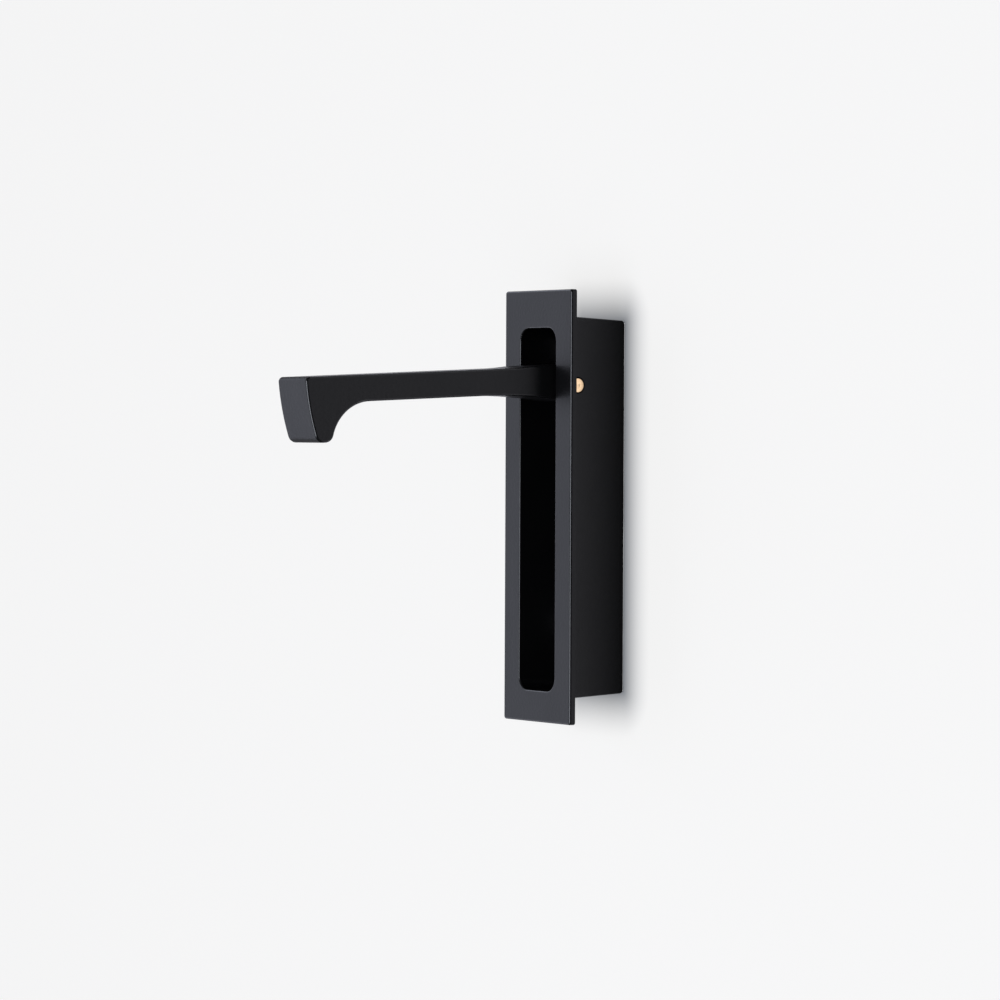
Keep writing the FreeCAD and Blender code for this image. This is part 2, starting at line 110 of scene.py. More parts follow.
class Graph:
    """A small wrapper that adds and joins the nodes of one node tree."""

    def __init__(self, tree: bpy.types.NodeTree) -> None:
        """Take over a tree and empty it.

        Args:
            tree: The node tree to fill.
        """
        self.tree = tree
        self.tree.nodes.clear()

    def add(self, kind: str, **settings: object) -> bpy.types.Node:
        """Add one node.

        Args:
            kind: The node's Blender type name.
            **settings: Attributes to set on the node.

        Returns:
            The new node.
        """
        node = self.tree.nodes.new(kind)
        for name, value in settings.items():
            setattr(node, name, value)
        return node

    def feed(self, source: object, target: bpy.types.NodeSocket) -> None:
        """Join an output to an input, or write a plain value on the input.

        Args:
            source: An output socket, or a number or sequence.
            target: The input socket.
        """
        if isinstance(source, bpy.types.NodeSocket):
            self.tree.links.new(source, target)
        else:
            target.default_value = source

    def math(self, operation: str, *values: object, clamp: bool = False) -> bpy.types.NodeSocket:
        """Add a Math node.

        Args:
            operation: The Math node's operation.
            *values: Numbers or output sockets, in order.
            clamp: Whether the result is held between 0 and 1.

        Returns:
            The node's output.
        """
        node = self.add("ShaderNodeMath", operation=operation, use_clamp=clamp)
        for value, socket in zip(values, node.inputs):
            self.feed(value, socket)
        return node.outputs[0]

    def square(self, value: object) -> bpy.types.NodeSocket:
        """Give a value times itself."""
        return self.math("POWER", value, 2.0)

    def noise(
        self, place: bpy.types.NodeSocket, waves: object, detail: float
    ) -> bpy.types.NodeSocket:
        """Add a Noise Texture.

        Args:
            place: The coordinates to read.
            waves: Waves per metre, as a number or an output.
            detail: Finer layers on top of the first.

        Returns:
            The noise value, about 0 to 1 round 0.5.
        """
        node = self.add("ShaderNodeTexNoise")
        self.feed(place, node.inputs["Vector"])
        self.feed(waves, node.inputs["Scale"])
        node.inputs["Detail"].default_value = detail
        return node.outputs["Fac"]

    def blend(self, share: object, first: object, second: object) -> bpy.types.NodeSocket:
        """Mix two colours.

        Args:
            share: How much of the second colour shows, 0 to 1.
            first: A colour or an output.
            second: A colour or an output.

        Returns:
            The mixed colour.
        """
        node = self.add("ShaderNodeMix", data_type="RGBA")
        self.feed(share, node.inputs["Factor"])
        for value, name in ((first, "A"), (second, "B")):
            socket = next(s for s in node.inputs if s.name == name and s.type == "RGBA")
            self.feed(as_rgba(value), socket)
        return next(s for s in node.outputs if s.type == "RGBA")

    def layer(
        self, share: object, first: bpy.types.NodeSocket, second: bpy.types.NodeSocket
    ) -> bpy.types.NodeSocket:
        """Mix two shaders.

        Args:
            share: How much of the second shader shows, 0 to 1.
            first: The shader at share 0.
            second: The shader at share 1.

        Returns:
            The mixed shader.
        """
        node = self.add("ShaderNodeMixShader")
        for source, socket in zip((share, first, second), node.inputs):
            self.feed(source, socket)
        return node.outputs["Shader"]

    def remap(self, value: object, read: Span, give: Span = (0.0, 1.0)) -> bpy.types.NodeSocket:
        """Map a value from one range to another, clamped.

        Args:
            value: The value to map.
            read: Start and end of the range read.
            give: What the start and the end become.

        Returns:
            The mapped value.
        """
        node = self.add("ShaderNodeMapRange")
        names = ("Value", "From Min", "From Max", "To Min", "To Max")
        for source, name in zip((value, *read, *give), names):
            self.feed(source, node.inputs[name])
        return node.outputs["Result"]


def as_rgba(value: object) -> object:
    """Give a plain colour its alpha, and leave an output as it is.

    Args:
        value: A colour of three numbers, or an output socket.

    Returns:
        A colour of four numbers, or the same socket.
    """
    if isinstance(value, tuple) and len(value) == 3:
        return (*value, 1.0)
    return value


def towards(azimuth: float, elevation: float) -> Vector:
    """Turn a viewing direction into a vector from the pull to the viewer.

    Args:
        azimuth: Degrees round the pull, 0 straight in front of the plate.
        elevation: Degrees above level.

    Returns:
        The direction, of length 1.
    """
    turn, rise = math.radians(azimuth), math.radians(elevation)
    return Vector(
        (math.sin(turn) * math.cos(rise), -math.cos(turn) * math.cos(rise), math.sin(rise))
    )


def new_group(
    name: str, inputs: Iterable[tuple[str, str, float]], outputs: Iterable[tuple[str, str]]
) -> tuple[Graph, bpy.types.Node, bpy.types.Node]:
    """Start a shader node group.

    Args:
        name: The group's name.
        inputs: Name, socket type and starting value of each number that goes in.
        outputs: Name and socket type of each value that comes out.

    Returns:
        The group's graph, its input node and its output node.
    """
    tree = bpy.data.node_groups.new(name, "ShaderNodeTree")
    graph = Graph(tree)
    for label, kind, start in inputs:
        socket = tree.interface.new_socket(label, in_out="INPUT", socket_type=kind)
        if kind == "NodeSocketFloat":
            socket.default_value = start
    for label, kind in outputs:
        tree.interface.new_socket(label, in_out="OUTPUT", socket_type=kind)
    return graph, graph.add("NodeGroupInput"), graph.add("NodeGroupOutput")


@dataclass(frozen=True)
class SkinEffect:
    """Node group of a baked or moulded skin: slow clouds, fine grain and a slight waviness."""

    cloud_detail: float = 4.0
    cloud_span: Span = (0.3, 0.7)
    grain_detail: float = 2.0
    wave_detail: float = 1.0
    waves_per_metre: float = 1100.0
    wave_weight: float = 7.0

    def build(self) -> bpy.types.NodeTree:
        """Build the group.

        Returns:
            The group, which gives a cloud mask, a roughness and a height.
        """
        graph, given, made = new_group(
            "coat_skin",
            (
                ("Place", "NodeSocketVector", 0.0),
                ("Cloud Size", "NodeSocketFloat", 0.012),
                ("Grain Size", "NodeSocketFloat", 0.00025),
                ("Roughness", "NodeSocketFloat", 0.5),
                ("Roughness Spread", "NodeSocketFloat", 0.06),
            ),
            (
                ("Clouds", "NodeSocketFloat"),
                ("Roughness", "NodeSocketFloat"),
                ("Height", "NodeSocketFloat"),
            ),
        )
        place = given.outputs["Place"]
        spread = given.outputs["Roughness Spread"]
        cloud_waves = graph.math("DIVIDE", 1.0, given.outputs["Cloud Size"])
        grain_waves = graph.math("DIVIDE", 1.0, given.outputs["Grain Size"])
        clouds = graph.noise(place, cloud_waves, self.cloud_detail)
        grain = graph.noise(place, grain_waves, self.grain_detail)
        waviness = graph.noise(place, self.waves_per_metre, self.wave_detail)
        cloud_mask = graph.remap(clouds, self.cloud_span)
        half_spread = graph.math("MULTIPLY", spread, 0.5)
        low = graph.math("SUBTRACT", given.outputs["Roughness"], half_spread)
        rough = graph.math("MULTIPLY_ADD", cloud_mask, spread, low)
        height = graph.math("MULTIPLY_ADD", waviness, self.wave_weight, grain)
        graph.feed(cloud_mask, made.inputs["Clouds"])
        graph.feed(rough, made.inputs["Roughness"])
        graph.feed(height, made.inputs["Height"])
        return graph.tree

    @staticmethod
    def place(
        graph: Graph,
        tree: bpy.types.NodeTree,
        spot: bpy.types.NodeSocket,
        sizes: Span,
        roughness: Span,
    ) -> bpy.types.Node:
        """Put the group in a material.

        Args:
            graph: The material's graph.
            tree: The built group.
            spot: The object coordinates.
            sizes: Size of a cloud and of a grain, in metres.
            roughness: The middle roughness and how far it spreads.

        Returns:
            The group's node.
        """
        skin = graph.add("ShaderNodeGroup", node_tree=tree)
        graph.feed(spot, skin.inputs["Place"])
        names = ("Cloud Size", "Grain Size", "Roughness", "Roughness Spread")
        for value, name in zip((*sizes, *roughness), names):
            skin.inputs[name].default_value = value
        return skin


def rounded_edge_group() -> bpy.types.NodeTree:
    """Build a mask of the rounds between faces square to an axis and faces along it.

    Returns:
        The group, which gives 0 on both kinds of face and 1 in the middle of a round.
    """
    graph, given, made = new_group(
        "rounded_edge",
        (("Normal", "NodeSocketVector", 0.0), ("Axis", "NodeSocketVector", 0.0)),
        (("Mask", "NodeSocketFloat"),),
    )
    along = graph.add("ShaderNodeVectorMath", operation="DOT_PRODUCT")
    graph.feed(given.outputs["Normal"], along.inputs[0])
    graph.feed(given.outputs["Axis"], along.inputs[1])
    square = graph.square(along.outputs["Value"])
    rest = graph.math("SUBTRACT", 1.0, square)
    product = graph.math("MULTIPLY", square, rest)
    highest_product = 0.25
    mask = graph.math("MULTIPLY", product, 1.0 / highest_product, clamp=True)
    graph.feed(mask, made.inputs["Mask"])
    return graph.tree


def turned_rings_group() -> bpy.types.NodeTree:
    """Build the fine rings that a cutting tool leaves round the X axis.

    Returns:
        The group, which gives a ring value from 0 to 1 and the distance from the axis.
    """
    graph, given, made = new_group(
        "turned_rings",
        (("Place", "NodeSocketVector", 0.0), ("Ring Step", "NodeSocketFloat", 0.0001)),
        (("Rings", "NodeSocketFloat"), ("Reach", "NodeSocketFloat")),
    )
    parts = graph.add("ShaderNodeSeparateXYZ")
    graph.feed(given.outputs["Place"], parts.inputs[0])
    total = graph.math("ADD", graph.square(parts.outputs["Y"]), graph.square(parts.outputs["Z"]))
    reach = graph.math("SQRT", total)
    turns = graph.math("DIVIDE", reach, given.outputs["Ring Step"])
    angle = graph.math("MULTIPLY", turns, math.tau)
    wave = graph.math("SINE", angle)
    rings = graph.math("MULTIPLY_ADD", wave, 0.5, 0.5)
    graph.feed(rings, made.inputs["Rings"])
    graph.feed(reach, made.inputs["Reach"])
    return graph.tree


class Effects:
    """The shared node groups, each built once."""

    def __init__(self) -> None:
        """Build the groups."""
        self.coat_skin = SkinEffect().build()
        self.rounded_edge = rounded_edge_group()
        self.turned_rings = turned_rings_group()


def centred_rings(
    graph: Graph, effects: Effects, place: bpy.types.NodeSocket, centre: Triple
) -> tuple[bpy.types.Node, bpy.types.NodeSocket]:
    """Put the turned rings round a point in a material.

    Args:
        graph: The material's graph.
        effects: The shared node groups.
        place: The object coordinates.
        centre: A point on the rings' axis.

    Returns:
        The rings' node, and the coordinates counted from the centre.
    """
    centred = graph.add("ShaderNodeMapping")
    graph.feed(place, centred.inputs["Vector"])
    centred.inputs["Location"].default_value = tuple(-part for part in centre)
    rings = graph.add("ShaderNodeGroup", node_tree=effects.turned_rings)
    graph.feed(centred.outputs["Vector"], rings.inputs["Place"])
    return rings, centred.outputs["Vector"]


def new_material(name: str) -> tuple[bpy.types.Material, Graph, bpy.types.Node]:
    """Start a material with a Principled shader on its output.

    Args:
        name: The material's name.

    Returns:
        The material, its graph and the Principled shader.
    """
    material = bpy.data.materials.new(name)
    material.use_nodes = True
    graph = Graph(material.node_tree)
    output = graph.add("ShaderNodeOutputMaterial")
    shader = graph.add("ShaderNodeBsdfPrincipled")
    graph.feed(shader.outputs["BSDF"], output.inputs["Surface"])
    return material, graph, shader


def bumped(graph: Graph, height: bpy.types.NodeSocket, depth: float) -> bpy.types.NodeSocket:
    """Turn a height into a normal.

    Args:
        graph: The material's graph.
        height: The height to read, in units of the depth.
        depth: How deep a height of 1 is, in metres.

    Returns:
        The bumped normal.
    """
    bump = graph.add("ShaderNodeBump")
    bump.inputs["Strength"].default_value = 1.0
    bump.inputs["Distance"].default_value = depth
    graph.feed(height, bump.inputs["Height"])
    return bump.outputs["Normal"]


@dataclass(frozen=True)
class PinGapShade:
    """Painted shade round the hole that a pin is pressed into, in a face square to X: a dark brown
    ring.
    """

    centre: Triple
    radius: float
    width: float = 0.36 * MILLIMETRE
    blur: float = 0.08 * MILLIMETRE
    # Colour of the painted shade ring round the pin.
    colour: Colour = (0.0035, 0.0016, 0.0006)
    roughness: float = 0.95

    def mask(
        self, graph: Graph, place: bpy.types.NodeSocket, effects: Effects
    ) -> bpy.types.NodeSocket:
        """Mark the ring of painted shade.

        Args:
            graph: The material's graph.
            place: The object coordinates.
            effects: The shared node groups.

        Returns:
            A mask that is 1 on the painted shade.
        """
        rings, _ = centred_rings(graph, effects, place, self.centre)
        edge = self.radius + self.width
        return graph.remap(rings.outputs["Reach"], (edge - self.blur, edge + self.blur), (1.0, 0.0))


@dataclass(frozen=True)
class CoatedCasting:
    """Fine matt black coating over a casting, glossier on its rounded edges and painted lighter
    there as a highlight.
    """

    name: str
    edge_axis: Axis
    # A ring of painted shade round a pin, if any.
    pin_gap_shade: PinGapShade | None = None
    colour: Colour = (0.0034, 0.0034, 0.0038)
    cloud_colour: Colour = (0.0042, 0.0042, 0.0047)
    # Lighter colour on the rounded edges: a painted highlight.
    edge_highlight_colour: Colour = (0.006, 0.006, 0.0065)
    roughness: float = 0.37
    edge_roughness: float = 0.22
    edge_gloss: float = 0.9
    gloss_roughness: float = 0.16
    roughness_spread: float = 0.04
    reflection: float = 0.28
    cloud_size: float = 12.0 * MILLIMETRE
    grain_size: float = 0.22 * MILLIMETRE
    grain_depth: float = 0.004 * MILLIMETRE

    def build(self, effects: Effects) -> bpy.types.Material:
        """Build the material.

        Args:
            effects: The shared node groups.

        Returns:
            The coating.
        """
        material, graph, shader = new_material(self.name)
        spot = graph.add("ShaderNodeTexCoord")
        place = spot.outputs["Object"]
        skin = SkinEffect.place(
            graph,
            effects.coat_skin,
            place,
            (self.cloud_size, self.grain_size),
            (self.roughness, self.roughness_spread),
        )
        edge = graph.add("ShaderNodeGroup", node_tree=effects.rounded_edge)
        graph.feed(spot.outputs["Normal"], edge.inputs["Normal"])
        edge.inputs["Axis"].default_value = self.edge_axis.value
        rounds = edge.outputs["Mask"]
        clouded = graph.blend(skin.outputs["Clouds"], self.colour, self.cloud_colour)
        # The rounded edges are painted lighter: a painted highlight.
        colour = graph.blend(rounds, clouded, self.edge_highlight_colour)
        smoother = graph.remap(rounds, (0.0, 1.0), (1.0, self.edge_roughness / self.roughness))
        rough = graph.math("MULTIPLY", skin.outputs["Roughness"], smoother)
        # Painted shade: a dark brown, rougher ring round the pin's hole.
        if self.pin_gap_shade:
            tarnish_and_gap_shade = self.pin_gap_shade.mask(graph, place, effects)
            colour = graph.blend(tarnish_and_gap_shade, colour, self.pin_gap_shade.colour)
            dull = graph.math("MULTIPLY", tarnish_and_gap_shade, self.pin_gap_shade.roughness)
            rough = graph.math("MAXIMUM", rough, dull)
        graph.feed(colour, shader.inputs["Base Color"])
        graph.feed(rough, shader.inputs["Roughness"])
        gloss = graph.math("MULTIPLY", rounds, self.edge_gloss)
        graph.feed(gloss, shader.inputs["Coat Weight"])
        shader.inputs["Coat Roughness"].default_value = self.gloss_roughness
        normal = bumped(graph, skin.outputs["Height"], self.grain_depth)
        graph.feed(normal, shader.inputs["Normal"])
        shader.inputs["Specular IOR Level"].default_value = self.reflection
        return material


@dataclass(frozen=True)
class TurnedBrass:
    """Bare brass with the tool's rings on its ends and a light, uneven tarnish."""

    name: str
    centre: Triple
    colour: Colour = (1.0, 0.71, 0.42)
    tarnish: Colour = (0.88, 0.54, 0.28)
    tarnish_waves: float = 900.0
    tarnish_detail: float = 3.0
    tarnish_span: Span = (0.45, 0.75)
    tarnish_share: float = 0.3
    roughness: float = 0.14
    rough_span: Span = (0.3, 0.7)
    smoother_by: float = 0.04
    rougher_by: float = 0.08
    ring_step: float = 0.16 * MILLIMETRE
    ring_depth: float = 0.0012 * MILLIMETRE

    def build(self, effects: Effects) -> bpy.types.Material:
        """Build the material.

        Args:
            effects: The shared node groups.

        Returns:
            The brass.
        """
        material, graph, shader = new_material(self.name)
        spot = graph.add("ShaderNodeTexCoord")
        rings, place = centred_rings(graph, effects, spot.outputs["Object"], self.centre)
        rings.inputs["Ring Step"].default_value = self.ring_step
        tarnish_and_gap_shade = graph.noise(place, self.tarnish_waves, self.tarnish_detail)
        stained = graph.remap(tarnish_and_gap_shade, self.tarnish_span, (0.0, self.tarnish_share))
        graph.feed(graph.blend(stained, self.colour, self.tarnish), shader.inputs["Base Color"])
        limits = (self.roughness - self.smoother_by, self.roughness + self.rougher_by)
        graph.feed(graph.remap(tarnish_and_gap_shade, self.rough_span, limits), shader.inputs["Roughness"])
        normal = bumped(graph, rings.outputs["Rings"], self.ring_depth)
        graph.feed(normal, shader.inputs["Normal"])
        shader.inputs["Metallic"].default_value = 1.0
        return material


@dataclass(frozen=True)
class SlidePlastic:
    """Plain black sliding plastic with a faint moulded grain."""

    name: str
    colour: Colour = (0.02, 0.02, 0.021)
    worn_colour: Colour = (0.032, 0.032, 0.033)
    roughness: float = 0.42
    roughness_spread: float = 0.06
    cloud_size: float = 3.0 * MILLIMETRE
    grain_size: float = 0.3 * MILLIMETRE
    grain_depth: float = 0.003 * MILLIMETRE

    def build(self, effects: Effects) -> bpy.types.Material:
        """Build the material.

        Args:
            effects: The shared node groups.

        Returns:
            The plastic.
        """
        material, graph, shader = new_material(self.name)
        spot = graph.add("ShaderNodeTexCoord")
        skin = SkinEffect.place(
            graph,
            effects.coat_skin,
            spot.outputs["Object"],
            (self.cloud_size, self.grain_size),
            (self.roughness, self.roughness_spread),
        )
        worn = graph.blend(skin.outputs["Clouds"], self.colour, self.worn_colour)
        graph.feed(worn, shader.inputs["Base Color"])
        graph.feed(skin.outputs["Roughness"], shader.inputs["Roughness"])
        normal = bumped(graph, skin.outputs["Height"], self.grain_depth)
        graph.feed(normal, shader.inputs["Normal"])
        return material


def deselect_all() -> None:
    """Leave nothing selected, in object mode."""
    if bpy.context.object and bpy.context.object.mode != "OBJECT":
        bpy.ops.object.mode_set(mode="OBJECT")
    bpy.ops.object.select_all(action="DESELECT")


def lying_cylinder(sides: int, radius: float, length: float, centre: Vector) -> bpy.types.Object:
    """Add a cylinder that lies along X.

    Args:
        sides: How many flats its round has.
        radius: Its radius.
        length: Its length.
        centre: Its middle.

    Returns:
        The cylinder.
    """
    deselect_all()
    bpy.ops.mesh.primitive_cylinder_add(
        vertices=sides,
        radius=radius,
        depth=length,
        location=centre,
        rotation=(0.0, QUARTER_TURN, 0.0),
    )
    return bpy.context.object


def round_rims(piece: bpy.types.Object, width: float, steps: int, sharpest: float) -> None:
    """Round a piece's sharp rims.

    Args:
        piece: The piece.
        width: How far the round reaches on each face.
        steps: How many flats the round has.
        sharpest: The angle in degrees past which an edge is rounded.
    """
    rims = piece.modifiers.new("rims", "BEVEL")
    rims.width = width
    rims.segments = steps
    rims.limit_method = "ANGLE"
    rims.angle_limit = math.radians(sharpest)
    bpy.ops.object.modifier_apply(modifier=rims.name)


def finished(
    piece: bpy.types.Object,
    name: str,
    material: bpy.types.Material,
    merge_distance: float = 1e-7,
    smooth_angle: float = 35.0,
) -> bpy.types.Object:
    """Name a new piece, put its place in its mesh, smooth it and give it its finish.

    Args:
        piece: The new piece.
        name: The piece's name.
        material: The piece's finish.
        merge_distance: Points nearer than this become one.
        smooth_angle: The angle in degrees up to which edges are shaded smooth.

    Returns:
        The same piece.
    """
    deselect_all()
    piece.select_set(True)
    bpy.context.view_layer.objects.active = piece
    bpy.ops.object.transform_apply(location=True, rotation=True, scale=True)
    bpy.ops.object.mode_set(mode="EDIT")
    bpy.ops.mesh.select_all(action="SELECT")
    bpy.ops.mesh.remove_doubles(threshold=merge_distance)
    bpy.ops.mesh.normals_make_consistent(inside=False)
    bpy.ops.object.mode_set(mode="OBJECT")
    bpy.ops.object.shade_smooth_by_angle(angle=math.radians(smooth_angle))
    piece.name = name
    piece.data.name = name
    piece.data.materials.clear()
    piece.data.materials.append(material)
    return piece


def pick_faces(piece: bpy.types.Object, test: Callable[[bpy.types.MeshPolygon], bool]) -> int:
    """Select the faces that pass a test, and nothing else.

    Args:
        piece: The piece, in object mode.
        test: Says of a face whether it is wanted.

    Returns:
        How many faces were selected.
    """
    mesh = piece.data
    mesh.vertices.foreach_set("select", [False] * len(mesh.vertices))
    mesh.edges.foreach_set("select", [False] * len(mesh.edges))
    count = 0
    for face in mesh.polygons:
        face.select = test(face)
        count += face.select
    return count


def is_end_cap(face: bpy.types.MeshPolygon, most_side_corners: int = 8) -> bool:
    """Tell whether a face of a cylinder is one of its two flat ends."""
    return len(face.vertices) > most_side_corners


def dress_node(node: bpy.types.Object, material: bpy.types.Material) -> None:
    """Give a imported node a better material.

    Args:
        node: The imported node's object.
        material: The finish it gets.
    """
    for slot in node.material_slots:
        slot.material = material
    if not node.material_slots:
        node.data.materials.append(material)


@dataclass
class CastBody:
    """Face plate and box in one casting."""

    coat_name: str = "body_coat"
    edge_axis: Axis = Axis.Y

    def dress(self, frame: dict, effects: Effects) -> None:
        """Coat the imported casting.

        Args:
            frame: The loaded frame.
            effects: The shared node groups.
        """
        low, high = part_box(PivotPin.stands_for)
        # Place the ring of painted shade round the pin.
        pin_gap_shade = PinGapShade(centre=tuple((low + high) / 2), radius=(high.z - low.z) / 2)
        finish = CoatedCasting(name=self.coat_name, edge_axis=self.edge_axis, pin_gap_shade=pin_gap_shade)
        dress_node(frame["nodes"]["cast_body"], finish.build(effects))
        LOG.info("cast body coated")


@dataclass
class HookedLever:
    """The lever that swings out of the pocket."""

    finish: CoatedCasting = CoatedCasting(
        name="lever_coat", edge_axis=Axis.X, roughness=0.42, reflection=0.305
    )

    def dress(self, frame: dict, effects: Effects) -> None:
        """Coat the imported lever.

        Args:
            frame: The loaded frame.
            effects: The shared node groups.
        """
        dress_node(frame["nodes"]["lever"], self.finish.build(effects))
        LOG.info("lever coated")


@dataclass
class PivotPin:
    """Turned brass pin, pressed through both side walls of the box."""

    name: str = "turned_pin"
    stands_for: str = "pivot_pin"
    sides: int = 96
    rim_break: float = 0.2 * MILLIMETRE
    rim_steps: int = 3
    rim_angle: float = 60.0
    nib_radius: float = 0.28 * MILLIMETRE
    nib_depth: float = 0.05 * MILLIMETRE
    nib_slope: float = 1.2

    def build(self, effects: Effects) -> bpy.types.Object:
        """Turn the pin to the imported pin's size and place.

        Args:
            effects: The shared node groups.

        Returns:
            The pin.
        """
        low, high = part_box(self.stands_for)
        centre = (low + high) / 2
        radius = (high.z - low.z) / 2
        length = high.x - low.x
        pin = lying_cylinder(self.sides, radius, length, centre)
        round_rims(pin, self.rim_break, self.rim_steps, self.rim_angle)
        self._dimple_ends(pin, radius)
        finish = TurnedBrass(name="turned_brass", centre=tuple(centre))
        finished(pin, self.name, finish.build(effects))
        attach(pin, Body.PULL.value)
        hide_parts(self.stands_for)
        LOG.info(
            "pin turned: radius %.2f mm, length %.2f mm", radius / MILLIMETRE, length / MILLIMETRE
        )
        return pin

    def _dimple_ends(self, pin: bpy.types.Object, radius: float) -> None:
        """Sink the small mark that parting off leaves in the middle of each end.

        Args:
            pin: The pin with broken rims.
            radius: The pin's radius.
        """
        if not pick_faces(pin, is_end_cap):
            return
        bpy.ops.object.mode_set(mode="EDIT")
        bpy.ops.mesh.select_mode(type="FACE")
        slope = self.nib_slope * self.nib_radius
        land = radius - self.rim_break - self.nib_radius - slope
        bpy.ops.mesh.inset(thickness=land, use_individual=True)
        bpy.ops.mesh.inset(thickness=slope, depth=-self.nib_depth, use_individual=True)
        bpy.ops.object.mode_set(mode="OBJECT")


@dataclass
class Washer:
    """Thin plastic ring that keeps the lever in the middle of the pocket."""

    side: Side
    sides: int = 72
    rim_round: float = 0.12 * MILLIMETRE
    rim_steps: int = 3
    rim_angle: float = 50.0
    hole_clearance: float = 0.05 * MILLIMETRE

    @property
    def stands_for(self) -> str:
        """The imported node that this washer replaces."""
        return f"washer_{self.side.value}"

    def build(self, effects: Effects) -> bpy.types.Object:
        """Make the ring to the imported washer's size and place.

        Args:
            effects: The shared node groups.

        Returns:
            The washer.
        """
        low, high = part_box(self.stands_for)
        pin_low, pin_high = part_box(PivotPin.stands_for)
        outer = (high.z - low.z) / 2
        inner = (pin_high.z - pin_low.z) / 2 + self.hole_clearance
        ring = lying_cylinder(self.sides, outer, high.x - low.x, (low + high) / 2)
        self._open_hole(ring, outer - inner)
        round_rims(ring, self.rim_round, self.rim_steps, self.rim_angle)
        finish = SlidePlastic(name=f"{self.stands_for}_plastic")
        finished(ring, f"{self.stands_for}_ring", finish.build(effects))
        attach(ring, Body.PULL.value)
        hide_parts(self.stands_for)
        LOG.info("%s made: %.1f mm across", ring.name, 2 * outer / MILLIMETRE)
        return ring

    def _open_hole(self, ring: bpy.types.Object, band: float) -> None:
        """Bridge the two flat faces through a hole.

        Args:
            ring: The plain disc.
            band: Width of the ring's flat band.
        """
        pick_faces(ring, is_end_cap)
        bpy.ops.object.mode_set(mode="EDIT")
        bpy.ops.mesh.select_mode(type="FACE")
        bpy.ops.mesh.inset(thickness=band, use_individual=True)
        bpy.ops.mesh.bridge_edge_loops()
        bpy.ops.object.mode_set(mode="OBJECT")


@dataclass(frozen=True)
class WallOpening:
    """The opening that the wall leaves behind the box."""

    half_wide: float
    bottom: float
    top: float

    def holds(self, point: Vector) -> bool:
        """Tell whether a point on the wall lies in the opening."""
        return abs(point.x) < self.half_wide and self.bottom < point.z < self.top

    def distance(self, graph: Graph) -> bpy.types.NodeSocket:
        """Measure how far a point on the wall is from the opening.

        Args:
            graph: The paint's graph.

        Returns:
            The distance in metres.
        """
        spot = graph.add("ShaderNodeTexCoord")
        parts = graph.add("ShaderNodeSeparateXYZ")
        graph.feed(spot.outputs["Object"], parts.inputs[0])
        level = graph.math("SUBTRACT", parts.outputs["Z"], (self.top + self.bottom) / 2)
        half_high = (self.top - self.bottom) / 2
        squares = []
        for value, half in ((parts.outputs["X"], self.half_wide), (level, half_high)):
            past = graph.math("SUBTRACT", graph.math("ABSOLUTE", value), half)
            squares.append(graph.square(graph.math("MAXIMUM", past, 0.0)))
        return graph.math("SQRT", graph.math("ADD", *squares))


